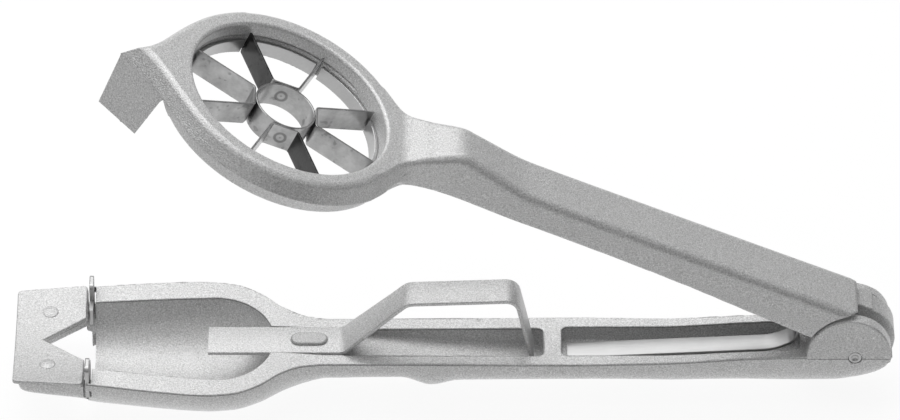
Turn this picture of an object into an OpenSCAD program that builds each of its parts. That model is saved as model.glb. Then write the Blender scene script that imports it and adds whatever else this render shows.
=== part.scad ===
// Radish cutter: a hand press in two cast arms joined by a hinge pin.
// The upper arm carries a ring with eight blade legs and a wedge at its nose.
// The lower arm is a scoop with a V notch, a bow strap that ejects the radish and a hairpin spring.
// Millimetres, +Z up. The arms run along X with the hinge at +X, and the tool is shown open, at rest.

/* [Arms] */
// Distance from the hinge pin to the centre of the cutting ring
ring_reach = 149.9; // [125:0.1:180]
// Angle between the arms at rest
open_angle = 24.5; // [18:0.5:30]
// Half width of the lower arm along the hand grip
grip_half_width = 8.5; // [7:0.1:10.2]
// Thickness of the cast walls of the upper arm's channel
channel_wall = 1.7; // [1.4:0.1:2.2]

/* [Cutting ring] */
// Outer radius of the ring at its edge line
ring_r = 30.6; // [28:0.1:37]
// Radius of the opening in the ring
ring_bore_r = 24.3; // [20.2:0.1:25]
// Height of the ring's top face above the hinge line
ring_top = 10.9; // [10:0.1:12]
// Height of the ring's edge line
ring_edge = 6.95; // [6:0.05:8]
// Height of the ring's underside
ring_foot = 2.3; // [2:0.1:3]
// How far the ring's outer wall leans in from its edge line to its top
ring_lean = 2.4; // [1.5:0.1:3]

/* [Blades] */
// Height of the blade strips
blade_height = 6.3; // [5:0.1:7.5]
// Height of the blades' upper edge
blade_top = 8.3; // [7.6:0.1:9.5]
// Thickness of the blade strips
blade_thick = 0.5; // [0.4:0.05:0.6]
// Radius of the small core ring, to the middle of its wall
core_r = 7.25; // [6:0.05:8.7]
// Thickness of the core ring's wall
core_wall = 0.45; // [0.4:0.05:0.6]
// Thickness of the retaining ring, measured along its radius
keeper_thick = 0.85; // [0.7:0.05:1.2]

/* [Wedge and notch] */
// How far the wedge reaches past the ring
wedge_reach = 9.9; // [8:0.1:12]
// Half of the wedge's angle seen from above
wedge_half_angle = 37.5; // [34:0.5:42]
// How far the wedge reaches below the hinge line
wedge_drop = 8.4; // [7:0.1:9]
// Space between the closed wedge and the notch
notch_gap = 0.8; // [0.5:0.1:1.2]
// Length of the tip plate in front of the notch
plate_lip = 6.7; // [5:0.1:9]
// Thickness of the tip plate
plate_thick = 1; // [0.8:0.1:1.2]
// Radius of the tip plate's rivet heads
rivet_head_r = 1.85; // [1.5:0.05:2.3]

/* [Scoop] */
// Half width of the scoop's rim at its widest
scoop_half_width = 20.45; // [19:0.05:24.5]
// Half width of the trough at its widest
trough_half_width = 14.7; // [12:0.1:16]
// Depth of the trough below the rim
trough_depth = 11; // [9:0.1:12]
// Height of the hinge line above the flat that the tool stands on
stand_height = 14.5; // [14:0.1:16]
// Thickness of the two guide ears
guide_thick = 1; // [0.8:0.1:1.2]

/* [Strap and spring] */
// Width of the bow strap
strap_width = 9.3; // [8:0.1:9.5]
// Thickness of the bow strap
strap_thick = 0.9; // [0.7:0.1:1.1]
// Height of the middle of the bow above the hinge line
bow_height = 13.5; // [11:0.1:14]
// Width of the hairpin spring
spring_width = 5.4; // [4.5:0.1:6.4]
// Thickness of the hairpin spring
spring_thick = 0.7; // [0.5:0.05:0.9]

/* [Hinge] */
// Radius of the hinge pin
pin_r = 1.6; // [1.3:0.05:2]
// Radial running clearance of the pin in its bores
pin_clearance = 0.05; // [0.02:0.01:0.1]
// Radius of the upper arm's knuckle
knuckle_r = 9.6; // [9:0.1:9.8]
// Radius of the lower arm's two ears
ear_r = 9.9; // [9.5:0.1:10.2]
// Side clearance of the knuckle against the far ear
knuckle_side_gap = 0.3; // [0.2:0.05:0.5]

/* [Hidden] */
$fn = 96;
seat = 0.05;
flush = 0.03;
body_gap = 0.4;
through = 40;

// Distances along the arm, measured from the hinge pin towards the tip
ring_front = ring_reach + ring_r;
nose = ring_front + wedge_reach;
notch_apex = nose + notch_gap;
tip = notch_apex + plate_lip;
block_front = tip - 1.2;
slot_rear = ring_front - 1.2;
slot_front = slot_rear + guide_thick + 0.9;
slab_rear = slot_rear + 0.95;
waist = ring_reach - 26;

// Origin: the hinge pin sits this far to the right of the middle and above the stand
pin_x = (tip - knuckle_r) / 2;
pin_z = stand_height;

// The dish of the tip plate is part of a large cylinder along the arm
dish_r = 97;
dish_floor = -1.5;

// Hinge: the ears stand about a point a little in front of the pin
ear_centre = [1.4, 0.4];
fork_near = -4.6;
fork_far = 4.95;
knuckle_near = -1.3;
knuckle_far = fork_far - knuckle_side_gap;
fork_r = knuckle_r + 1;
ear_base = -1.45;
shell_end_r = ear_r + norm(ear_centre) + body_gap;

bodywork = [0.76, 0.77, 0.77];
bare_steel = [0.85, 0.86, 0.87];
blade_steel = [0.66, 0.67, 0.68];

// Smooth curve through stations
// A list of [position, value] pairs in rising order is read as a curve that never overshoots them.

function secant(s, i) = (s[i + 1][1] - s[i][1]) / (s[i + 1][0] - s[i][0]);

function slope_between(a, b) = a * b <= 0 ? 0 : 2 * a * b / (a + b);

function slope_at(s, i) =
    i == 0 ? secant(s, 0)
    : i == len(s) - 1 ? secant(s, i - 1)
    : slope_between(secant(s, i - 1), secant(s, i));

function hermite(p, q, mp, mq, h, t) =
    p * (2 * pow(t, 3) - 3 * t * t + 1)
    + mp * h * (pow(t, 3) - 2 * t * t + t)
    + q * (3 * t * t - 2 * pow(t, 3))
    + mq * h * (pow(t, 3) - t * t);

function smooth_in(s, i, x) =
    let (h = s[i + 1][0] - s[i][0])
    hermite(s[i][1], s[i + 1][1], slope_at(s, i), slope_at(s, i + 1), h, (x - s[i][0]) / h);

function smooth(s, x, i = 0) =
    x <= s[0][0] ? s[0][1]
    : i >= len(s) - 1 ? s[len(s) - 1][1]
    : x <= s[i + 1][0] ? smooth_in(s, i, x)
    : smooth(s, x, i + 1);

// Lofts, ribbons and rounded outlines

// Skin over a list of sections with equally many points, with a flat cap at both ends
module loft(sections) {
    n = len(sections[0]);
    last = len(sections) - 1;
    sides = [
        for (k = [0:last - 1], i = [0:n - 1], half = [0, 1])
            let (a = k * n + i, b = k * n + (i + 1) % n)
            half == 0 ? [a, b + n, b] : [a, a + n, b + n]
    ];
    caps = [[for (i = [0:n - 1]) i], [for (i = [0:n - 1]) last * n + (n - i) % n]];
    polyhedron(points = [for (s = sections) for (p = s) p], faces = concat(sides, caps), convexity = 6);
}

// Points of an arc from angle a to angle b
function arc(centre, r, a, b, steps) =
    [for (k = [0:steps]) let (t = a + (b - a) * k / steps) centre + r * [cos(t), sin(t)]];

function unit(v) = v / norm(v);

// One corner of a path, rounded to radius r
function corner(p, q, s, r, steps) =
    let (
        u = unit(p - q),
        v = unit(s - q),
        half = acos(max(-1, min(1, u * v))) / 2,
        centre = q + unit(u + v) * r / sin(half),
        start = q + u * r / tan(half) - centre,
        end = q + v * r / tan(half) - centre,
        a = atan2(start.y, start.x),
        turn = atan2(end.y, end.x) - a,
        sweep = turn > 180 ? turn - 360 : turn < -180 ? turn + 360 : turn
    )
    arc(centre, r, a, a + sweep, steps);

// An open path of corners [x, y, radius] with its inner corners rounded
function rounded_path(c, steps = 5) = [
    [c[0].x, c[0].y],
    for (i = [1:len(c) - 2])
        each corner([c[i - 1].x, c[i - 1].y], [c[i].x, c[i].y], [c[i + 1].x, c[i + 1].y], c[i][2], steps),
    [c[len(c) - 1].x, c[len(c) - 1].y]
];

// A closed outline of corners [x, y, radius]
function rounded_outline(c, steps = 5) = [
    for (i = [0:len(c) - 1])
        let (p = c[(i + len(c) - 1) % len(c)], q = c[i], s = c[(i + 1) % len(c)])
        each corner([p.x, p.y], [q.x, q.y], [s.x, s.y], q[2], steps)
];

function left_of(p, i) =
    let (d = unit(p[min(i + 1, len(p) - 1)] - p[max(i - 1, 0)]))
    [-d.y, d.x];

// The path moved sideways by w, to the left of its direction
function moved(p, w) = [for (i = [0:len(p) - 1]) p[i] + w * left_of(p, i)];

// Outline of a strip between two offsets of a path
function ribbon(p, low, high) =
    let (a = moved(p, low), b = moved(p, high))
    concat(a, [for (i = [len(b) - 1:-1:0]) b[i]]);

// Side profile drawn as [distance from the pin, height], given a width along Y
module across(low, high) {
    translate([0, high, 0])
        rotate([90, 0, 0])
            linear_extrude(high - low)
                mirror([1, 0, 0])
                    children();
}

// Places of the two bodies in the tool's own frame

module lower() {
    translate([pin_x, 0, pin_z])
        children();
}

module upper() {
    translate([pin_x, 0, pin_z])
        rotate([0, open_angle, 0])
            children();
}

module at_ring() {
    translate([-ring_reach, 0, 0])
        children();
}

// Lower arm: one casting, with a slab at the tip, a scoop, a grip and two hinge ears

// Half width of the rim
arm_widths = [
    [-8.6, grip_half_width - 0.9],
    [-7, grip_half_width - 0.2],
    [0, grip_half_width],
    [24, grip_half_width - 0.6],
    [47, grip_half_width - 0.3],
    [ring_reach - 85, grip_half_width + 0.1],
    [waist, grip_half_width - 0.3],
    [waist + 6, grip_half_width + 0.7],
    [waist + 11, grip_half_width + 3.4],
    [ring_reach - 9.6, scoop_half_width - 3.8],
    [ring_reach - 3.9, scoop_half_width - 0.9],
    [ring_reach + 3, scoop_half_width],
    [ring_reach + 12, scoop_half_width - 0.6],
    [slot_front - 2, scoop_half_width - 2.7],
    [block_front - 1.5, scoop_half_width - 4.3],
    [block_front, scoop_half_width - 4.9]
];

// Height of the rim
arm_rims = [
    [10, 0],
    [24, -0.6],
    [47, -1.9],
    [waist, -2.1],
    [ring_reach - 15, -1.5],
    [ring_reach, -1.1],
    [slot_rear, -0.1]
];

// Depth of the casting below its rim
arm_depths = [
    [-8.8, 0.8],
    [-8.3, 2.6],
    [-7, 5],
    [-4.6, 6.9],
    [0, 8.6],
    [5, 9.6],
    [11, 9.8],
    [39, 8.1],
    [ring_reach - 85, 7],
    [ring_reach - 57, 7.4],
    [ring_reach - 50.2, 9.2],
    [ring_reach - 43, 6.4],
    [waist, 6.9],
    [waist + 2.6, 7.6],
    [waist + 5, 8.7],
    [waist + 8, 10.2],
    [ring_reach - 12, 12.1],
    [ring_reach, stand_height - 0.9],
    [slot_rear - 3, stand_height - 2.2],
    [slab_rear - 0.2, stand_height - 2.9],
    [slab_rear, 6.8],
    [slab_rear + 3, 6.3],
    [block_front - 5, 5.5],
    [block_front - 2, 5.1],
    [block_front - 0.8, 4.4],
    [block_front, 2.6]
];

// Squareness of the section: 2 is an ellipse, more is boxy
arm_squareness = [
    [-8, 3],
    [waist - 4, 3],
    [ring_reach - 15, 2.2],
    [ring_reach, 2.05],
    [slab_rear - 0.2, 2.3],
    [slab_rear, 5],
    [block_front, 5]
];

rim_edge = 0.35;

function superellipse(w, d, p, a) =
    let (s = pow(pow(abs(cos(a)), p) + pow(abs(sin(a)), p), -1 / p))
    [w * cos(a) * s, -d * sin(a) * s];

function arm_section(x) =
    let (w = smooth(arm_widths, x), z = smooth(arm_rims, x), d = smooth(arm_depths, x))
    concat(
        [[-x, -(w - rim_edge), z], [-x, w - rim_edge, z]],
        [
            for (a = [0:12:180])
                let (q = superellipse(w, d, smooth(arm_squareness, x), a))
                [-x, q.x, z - rim_edge + q.y]
        ]
    );

function steps_between(a, b, step) =
    let (n = max(1, round((b - a) / step)))
    [for (k = [0:n - 1]) a + (b - a) * k / n];

arm_stations = concat(
    [-8.8, -8.3, -7, -4.6],
    steps_between(-1.5, 14, 4),
    steps_between(14, ring_reach - 62, 8),
    steps_between(ring_reach - 62, waist - 1, 3),
    steps_between(waist - 1, ring_reach - 3, 2),
    steps_between(ring_reach - 3, slot_rear - 3, 4),
    [slot_rear - 3, slab_rear - 0.2, slab_rear, slot_front + 4, block_front - 6],
    [block_front - 3, block_front - 1.5, block_front - 0.6, block_front]
);

// The trough of the scoop: open towards the notch, with an ellipsoid end towards the grip
trough_centre = ring_reach + 0.6;
trough_end = 13.7;

trough_widths = [
    [trough_centre, trough_half_width],
    [ring_reach + 12, trough_half_width - 0.9],
    [slot_rear, trough_half_width - 2.8],
    [slot_front + 1, trough_half_width - 2.8]
];

// The trough is a little shallower at its open front
trough_depths = [
    [trough_centre, trough_depth],
    [ring_reach + 12, trough_depth - 0.1],
    [slot_rear, trough_depth - 0.6]
];

function trough_section(x, w, d) =
    let (z = smooth(arm_rims, x))
    concat(
        [[-x, -w, 6], [-x, w, 6]],
        [
            for (a = [0:12:180])
                let (q = superellipse(w, d, 2.1, a))
                [-x, q.x, z + q.y]
        ]
    );

trough_rounding = [
    for (a = [84:-12:12])
        trough_section(trough_centre - trough_end * sin(a), trough_half_width * cos(a), trough_depth * cos(a))
];

trough_sections = concat(
    trough_rounding,
    [
        for (x = concat(steps_between(trough_centre, slot_rear, 4), [slot_rear, slot_front]))
            trough_section(x, smooth(trough_widths, x), smooth(trough_depths, x))
    ]
);

// Outlines of a guide ear and of its slot, seen along the arm from the tip
ear_outer = smooth(arm_widths, slot_rear) - 0.4;
ear_inner = ear_outer - 5;
ear_top = 4.2;
ear_foot = -4.5;
guide_inner = (notch_apex - slot_rear) * tan(wedge_half_angle) - 0.3;

module along_arm(from, to) {
    translate([-to, 0, 0])
        rotate([90, 0, 90])
            linear_extrude(to - from)
                children();
}

module guide_slots() {
    along_arm(slot_rear, slot_front)
        for (side = [-1, 1])
            polygon([
                [side * (guide_inner - 3), 1],
                [side * (ear_outer + seat), 1],
                [side * (ear_outer + seat), ear_foot - seat],
                [side * (guide_inner - 3), ear_foot - seat]
            ]);
}

// Plan outline of the V notch, with its apex towards the tip
function notch_points(apex, back) =
    let (half = (apex - back) * tan(wedge_half_angle))
    [[-apex, 0], [-back, half], [-back, -half]];

module notch(apex, back) {
    translate([0, 0, -through / 2])
        linear_extrude(through)
            polygon(notch_points(apex, back));
}

// Solid below the dished underside of the tip plate is kept, and the rest is cut
module dish(r, from, to) {
    translate([-to, 0, dish_floor + dish_r])
        rotate([0, 90, 0])
            cylinder(r = r, h = to - from);
}

module at_rivets() {
    for (side = [-1, 1])
        translate([-(nose - 0.5), 0, dish_floor + dish_r])
            rotate([side * asin(9.4 / dish_r), 0, 0])
                translate([0, 0, -dish_r])
                    children();
}

// Pockets along the grip: one below the bow and one for the spring
pocket_half_width = strap_width / 2 + 0.75;
pocket_far_width = strap_width / 2 + 0.2;
pocket_front = ring_reach - 28.9;
pocket_rear = ring_reach - 76.7;
bridge = 4.3;
spring_slot_front = pocket_rear - bridge;
spring_slot_rear = 13;
spring_slot_floor = -6;

module rounded_pocket(from, to, near, far, r) {
    linear_extrude(through)
        polygon(rounded_outline([
            [-to, -near, r],
            [-from, -near, r],
            [-from, far, r],
            [-to, far, r]
        ]));
}

module bow_pocket() {
    intersection() {
        translate([0, 0, -through / 2])
            rounded_pocket(pocket_rear, pocket_front, pocket_half_width, pocket_far_width, 1.5);
        across(-through / 2, through / 2)
            polygon([
                [pocket_front + 1, 6],
                [pocket_rear - 1, 6],
                [pocket_rear - 1, -7.1],
                [pocket_front - 12, -4.3],
                [pocket_front + 1, -3.4]
            ]);
    }
}

module spring_pocket() {
    translate([0, 0, spring_slot_floor])
        rounded_pocket(spring_slot_rear, spring_slot_front, pocket_half_width, pocket_half_width, 1.5);
}

// Recess that takes the flat of the strap
strap_flat_z = -1.55;
strap_recess_front = ring_reach - 12;

module strap_recess() {
    translate([-strap_recess_front - 2, -strap_width / 2 - 0.15, strap_flat_z - strap_thick - seat])
        cube([strap_recess_front + 2 - pocket_front + 1, strap_width + 0.3, 10]);
}

stud_centre = ring_reach - 21.4;
stud_length = 8.8;
stud_width = 4.3;

module oblong(length, width, height) {
    linear_extrude(height)
        polygon(concat(
            arc([(length - width) / 2, 0], width / 2, -90, 90, 12),
            arc([-(length - width) / 2, 0], width / 2, 90, 270, 12)
        ));
}

stud_foot = -4.5;

// The stud's shank, and the holes that it passes through
module stud_shank(extra, top) {
    translate([-stud_centre, 0, stud_foot - extra])
        oblong(stud_length - 1 + 2 * extra, stud_width - 1 + 2 * extra, top - stud_foot + extra);
}

// Ear of the hinge, seen from the side
module ear_profile() {
    intersection() {
        translate(ear_centre)
            circle(r = ear_r);
        translate([-through / 2, ear_base])
            square([through, through]);
    }
}

// The ears lean in towards the top
module ear_draft() {
    for (side = [-1, 1])
        translate([0, side * grip_half_width, 0])
            rotate([side * 7, 0, 0])
                translate([-15, side > 0 ? 0 : -10, 0])
                    cube([30, 10, 14]);
}

module pin_bore() {
    rotate([90, 0, 0])
        cylinder(r = pin_r + pin_clearance, h = through, center = true);
}

module lower_handle() {
    color(bodywork)
        lower()
            difference() {
                union() {
                    loft([for (x = arm_stations) arm_section(x)]);
                    difference() {
                        across(-grip_half_width, grip_half_width)
                            ear_profile();
                        ear_draft();
                    }
                }
                loft(trough_sections);
                guide_slots();
                notch(notch_apex, slot_rear);
                dish(dish_r + plate_thick + seat, slot_front, tip);
                at_rivets()
                    translate([0, 0, -5])
                        cylinder(r = 1.3 + seat, h = 5);
                bow_pocket();
                spring_pocket();
                strap_recess();
                stud_shank(seat, 1);
                fork();
                pin_bore();
                translate([-through * 6, -through, -stand_height - through])
                    cube([through * 8, through * 2, through]);
            }
}

// Room for the knuckle between the ears, open behind and below
module fork() {
    across(fork_near, fork_far) {
        circle(r = fork_r);
        polygon([[fork_r, 0], [fork_r, -through], [-through, -through], [-through, 0]]);
        polygon([[0, 0], [-through, 0], [-through, through], [0, through]]);
        polygon([[fork_r - 3, 0], [0, 0], [0, through], [fork_r - 3, through]]);
    }
    across(fork_near, fork_far)
        polygon([[ear_r + 3, 0.02], [0, 0.02], [0, through], [ear_r + 3, through]]);
}

// Tip plate: sheet steel, dished, with the V notch
module tip_plate() {
    color(bodywork)
        lower()
            difference() {
                intersection() {
                    translate([0, 0, -through / 2])
                        linear_extrude(through)
                            polygon(rounded_outline([
                                [-tip, -scoop_half_width + 4.25, 1.2],
                                [-slot_front - 0.15, -scoop_half_width + 2.65, 0.4],
                                [-slot_front - 0.15, scoop_half_width - 2.65, 0.4],
                                [-tip, scoop_half_width - 4.25, 1.2]
                            ]));
                    dish(dish_r + plate_thick, slot_rear, tip + 1);
                }
                dish(dish_r, slot_rear - 1, tip + 2);
                notch(notch_apex, slot_rear);
                at_rivets()
                    translate([0, 0, -5])
                        cylinder(r = rivet_head_r + seat, h = 10);
            }
}

// Rivets that hold the tip plate: low domed heads flush with the plate
module plate_rivets() {
    color(bodywork)
        lower()
            at_rivets()
                rotate_extrude()
                    polygon(concat(
                        [[0, -4.6], [1.3, -4.6], [1.3, -plate_thick], [rivet_head_r, -plate_thick]],
                        arc([0, 0.25 - 8], 8, 90 - asin(rivet_head_r / 8), 90, 5)
                    ));
}

// Guide ear: a tab of sheet steel let into the wall beside the notch, with a rounded flag above the rim
module guide_ear(side) {
    color(bare_steel)
        lower()
            along_arm(slot_rear + 0.45, slot_rear + 0.45 + guide_thick)
                polygon([
                    for (q = rounded_outline([
                        [guide_inner, ear_foot, 0.4],
                        [ear_outer, ear_foot, 0.4],
                        [ear_outer, ear_top, 1.3],
                        [ear_inner, ear_top, 1.3],
                        [ear_inner, -0.1, 0.6],
                        [guide_inner, -0.1, 0.3]
                    ]))
                        [side * q.x, q.y]
                ]);
}

module guide_far() {
    guide_ear(1);
}

module guide_near() {
    guide_ear(-1);
}

// Bow strap: one steel strip, from a tongue in the trough up to a bow and down into the pocket
bow_front = ring_reach - 44.5;
bow_rear = ring_reach - 70.6;
bow_width = strap_width - 1.2;

strap_corners = [
    [ring_reach + 2.4, strap_flat_z, 0],
    [pocket_front - 0.4, strap_flat_z, 2.5],
    [bow_front, bow_height - 0.55, 2.5],
    [bow_rear, bow_height + 0.45, 3.5],
    [pocket_rear + 2.2, -4.6, 0]
];

// Plan outline of the strap: the tongue is wider than the bow
module strap_plan() {
    translate([0, 0, -through])
        linear_extrude(2 * through)
            polygon([
                for (side = [-1, 1], k = [0:3])
                    let (
                        x = [ring_reach + 5, pocket_front - 2, bow_front + 3, pocket_rear],
                        w = [strap_width, strap_width, bow_width, bow_width],
                        i = side < 0 ? k : 3 - k
                    )
                    [-x[i], side * w[i] / 2]
            ]);
}

module bow_strap() {
    color(bodywork)
        lower()
            difference() {
                union() {
                    intersection() {
                        across(-strap_width, strap_width)
                            polygon(ribbon(rounded_path(strap_corners, 7), 0, strap_thick));
                        strap_plan();
                    }
                    for (nib = [[ring_reach - 19.1, 1], [ring_reach - 20.9, -1]])
                        translate([-nib[0] - 0.6, nib[1] * strap_width / 2 - 0.12, strap_flat_z - strap_thick])
                            cube([1.2, 0.24, strap_thick]);
                }
                stud_shank(seat, 1);
            }
}

// Stud that holds the strap: an oblong pip, peened over
module strap_stud() {
    color(bodywork)
        lower() {
            stud_shank(0, strap_flat_z + 0.3);
            translate([-stud_centre, 0, strap_flat_z + seat])
                oblong(stud_length, stud_width, 0.7);
        }
}

// Hairpin spring: the lower leg lies in its slot, the upper leg runs along the channel of the upper arm
module leaf_spring() {
    leg_end = spring_slot_front - 1.4;
    ceiling = ring_top - 3.4;
    far_end = 46;
    upper_start = upper_point(22, ceiling);
    upper_end = upper_point(far_end, ceiling + 0.3);
    corners = [
        [leg_end, spring_slot_floor + 0.9, 0],
        [19, -2.4, 12],
        [13.3, 0.6, 4],
        [14.2, upper_start.y - 1.5, 5],
        [upper_end.x, upper_end.y, 0]
    ];
    color(bare_steel)
        lower()
            across(-spring_width / 2, spring_width / 2)
                polygon(ribbon(rounded_path(corners, 7), -spring_thick / 2, spring_thick / 2));
}

// A point of the upper arm, given by its distance from the pin and its height, in the lower arm's terms
function upper_point(a, h) = [
    a * cos(open_angle) - h * sin(open_angle),
    a * sin(open_angle) + h * cos(open_angle)
];

// Hinge pin: a plain pin, its ends flush with the ears and a little hollow
module hinge_pin() {
    color(bare_steel)
        lower()
            rotate([90, 0, 0])
                difference() {
                    cylinder(r = pin_r, h = 2 * grip_half_width - 0.2, center = true);
                    for (side = [-1, 1])
                        translate([0, 0, side * (grip_half_width - 0.1)])
                            cylinder(r = pin_r / 2, h = 0.6, center = true);
                }
}

// Upper arm: one casting, with the wedge, the ring, a channel-shaped handle and the knuckle

ring_profile = [
    [ring_bore_r - 1, ring_foot],
    [ring_bore_r - 1, ring_top - 1.3],
    [ring_bore_r + 0.3, ring_top],
    [ring_r - ring_lean - 0.6, ring_top],
    [ring_r - ring_lean - 0.15, ring_top - 0.12],
    [ring_r - ring_lean + 0.2, ring_top - 0.45],
    [ring_r - 0.15, ring_edge + 0.25],
    [ring_r, ring_edge],
    [ring_r - 0.12, ring_edge - 0.2],
    [ring_r - 0.6, ring_edge - 0.35],
    [ring_r - 1.7, ring_foot + 1],
    [ring_r - 2.2, ring_foot + 0.35],
    [ring_r - 3, ring_foot]
];

module ring() {
    at_ring()
        rotate_extrude()
            polygon(ring_profile);
}

// Handle: half width of its top, and heights of its top and of the lower edges of its sides
neck = ring_reach - 34.2;
hump = ring_reach - 42.9;

handle_widths = [
    [0, 7.4],
    [ring_reach - 61, 7],
    [hump, 6.25],
    [neck, 7.6],
    [neck + 6.3, 10.2],
    [neck + 10.3, 14.2]
];

handle_tops = [
    [0, 10.1],
    [ring_reach - 94, 11.4],
    [ring_reach - 61, 12.1],
    [hump - 2.5, 15],
    [hump + 0.5, 15.5],
    [neck, 12.9],
    [neck + 6.3, ring_top - flush],
    [neck + 12, ring_top - flush]
];

handle_feet = [
    [0, 0.2],
    [12, 0.7],
    [29, 1.8],
    [45, 2.9],
    [62, 3.6],
    [80, 4],
    [hump, 4.2],
    [neck - 0.5, 4.5],
    [neck + 3, 4.6],
    [neck + 6.3, 3.5],
    [neck + 10.3, ring_foot + 0.3]
];

edge_r = 1.2;
side_draft = 0.5;

function handle_section(x) =
    let (
        w = smooth(handle_widths, x),
        top = smooth(handle_tops, x),
        foot = smooth(handle_feet, x),
        right = arc([w - edge_r, top - edge_r], edge_r, 90, 0, 5)
    )
    concat(
        [for (q = right) [-x, q.x, q.y]],
        [[-x, w + side_draft, foot], [-x, -w - side_draft, foot]],
        [for (k = [5:-1:0]) [-x, -right[k].x, right[k].y]]
    );

handle_stations = concat(
    [1, 12],
    steps_between(24, ring_reach - 62, 12),
    steps_between(ring_reach - 62, hump - 3, 5),
    steps_between(hump - 3, neck + 11, 1.6),
    [neck + 11]
);

// The channel of the handle, open below, with its ceiling one wall under the top
channel_front = neck - 0.4;

channel_widths = [
    [0, 7.4 - channel_wall],
    [ring_reach - 61, strap_width / 2 + 0.55],
    [channel_front, strap_width / 2 + 0.3]
];

function channel_section(x, drop) =
    let (w = smooth(channel_widths, x), top = smooth(handle_tops, x) - channel_wall - drop)
    [
        [-x, w, -through],
        [-x, -w, -through],
        [-x, -w, top - 0.8],
        [-x, -w + 0.8, top],
        [-x, w - 0.8, top],
        [-x, w, top - 0.8]
    ];

module channel() {
    loft([
        for (x = concat([-1], steps_between(17, ring_reach - 66, 16), steps_between(ring_reach - 66, channel_front - 2, 2.9)))
            channel_section(x, 0),
        channel_section(channel_front - 2, 0.6),
        channel_section(channel_front - 0.4, 2.4),
        channel_section(channel_front, 4)
    ]);
}

// Wedge: a V in plan, through the notch below, with its top leaning in like the ring's outer wall
wedge_draft = 0.75;

// Plan outline of the wedge where it grows out of the ring: its flanks meet the ring in round hollows
function wedge_outline(h, apex, r, hollow) =
    let (
        a = wedge_half_angle,
        out = [sin(a), cos(a)],
        reach = apex - ring_reach,
        offset_d = reach * sin(a) + hollow,
        far = r + hollow,
        along = sqrt(far * far - offset_d * offset_d),
        c = [offset_d * sin(a) + along * cos(a), offset_d * cos(a) - along * sin(a)],
        on_ring = c * r / far,
        on_flank = c - hollow * out,
        from = atan2(on_flank.y - c.y, on_flank.x - c.x),
        turn = atan2(on_ring.y - c.y, on_ring.x - c.x) - from,
        sweep = turn > 180 ? turn - 360 : turn < -180 ? turn + 360 : turn,
        side = concat([[reach, 0]], arc(c, hollow, from, from + sweep, 6))
    )
    concat(
        [[-(r - 1.5) - ring_reach, 0, h]],
        [for (k = [len(side) - 1:-1:1]) [-side[k].x - ring_reach, side[k].y, h]],
        [for (q = side) [-q.x - ring_reach, -q.y, h]]
    );

module wedge_top() {
    lean_back = ring_lean / sin(wedge_half_angle);
    loft([
        wedge_outline(ring_foot + 0.5, nose - 0.25, ring_r - 3, 2.5),
        wedge_outline(ring_edge - 0.4, nose, ring_r - 1.3, 2.5),
        wedge_outline(ring_edge - 0.04, nose + 0.1, ring_r - 0.7, 2.5),
        wedge_outline(ring_top - 0.5, nose - lean_back * 0.9, ring_r - ring_lean - 0.5, 2.5),
        wedge_outline(ring_top - 0.17, nose - lean_back - 0.1, ring_r - ring_lean - 0.8, 2.5),
        wedge_outline(ring_top - flush, nose - lean_back - 0.6, ring_r - ring_lean - 1.2, 2.5)
    ]);
}

function wedge_triangle(h, apex, back) =
    let (half = (apex - back) * tan(wedge_half_angle))
    [[-apex, 0, h], [-back, -half, h], [-back, half, h]];

module wedge_blade() {
    loft([
        wedge_triangle(-wedge_drop, nose - wedge_draft, ring_front - 0.1),
        wedge_triangle(ring_foot + 0.6, nose - 0.2, ring_front - 1.2)
    ]);
}

// Knuckle and the rib that joins it to the handle
module knuckle() {
    across(knuckle_near, knuckle_far) {
        circle(r = knuckle_r);
        polygon([[0, 0], [knuckle_r, 0], [11, 5], [11, 10.3], [2.5, 9.8]]);
    }
}

module upper_handle() {
    color(bodywork)
        upper()
            difference() {
                union() {
                    difference() {
                        union() {
                            ring();
                            wedge_top();
                            wedge_blade();
                            loft([for (x = handle_stations) handle_section(x)]);
                        }
                        channel();
                        at_ring()
                            cylinder(r = ring_bore_r, h = through, center = true);
                        across(-through / 2, through / 2)
                            circle(r = shell_end_r);
                        translate([0, -through, -through])
                            cube([through, 2 * through, 2 * through]);
                    }
                    knuckle();
                }
                pin_bore();
            }
}

// Retaining ring: bare steel, below the ledge of the ring, notched for the ends of the blades
module retaining_ring() {
    color(bare_steel)
        upper()
            at_ring()
                difference() {
                    rotate_extrude()
                        polygon([
                            [ring_bore_r - keeper_thick, ring_foot + 0.1],
                            [ring_bore_r - seat, ring_foot + 0.1],
                            [ring_bore_r - seat, 6],
                            [ring_bore_r - keeper_thick, 6]
                        ]);
                    for (k = [0:7])
                        rotate([0, 0, 22.5 + 45 * k])
                            translate([ring_bore_r - 4.25, -0.8, -5])
                                cube([4, 1.6, 20]);
                }
}

// Core ring at the centre of the star
module core_ring() {
    color(blade_steel)
        upper()
            at_ring()
                rotate_extrude()
                    polygon([
                        [core_r - core_wall / 2, blade_top - blade_height],
                        [core_r + core_wall / 2, blade_top - blade_height],
                        [core_r + core_wall / 2, blade_top],
                        [core_r - core_wall / 2, blade_top]
                    ]);
}

// Blade: a strip bent to a V, welded to the core ring at its middle, ground sharp along its lower edge
blade_reach = ring_bore_r - 0.4;
blade_bevel = 0.8;

function blade_path() =
    let (
        flat = core_r + core_wall / 2 + blade_thick / 2 + seat,
        bend = flat / cos(22.5)
    )
    rounded_path([
        [blade_reach * cos(22.5), -blade_reach * sin(22.5), 0],
        [flat, -bend * sin(22.5), 0.8],
        [flat, bend * sin(22.5), 0.8],
        [blade_reach * cos(22.5), blade_reach * sin(22.5), 0]
    ], 4);

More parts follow.
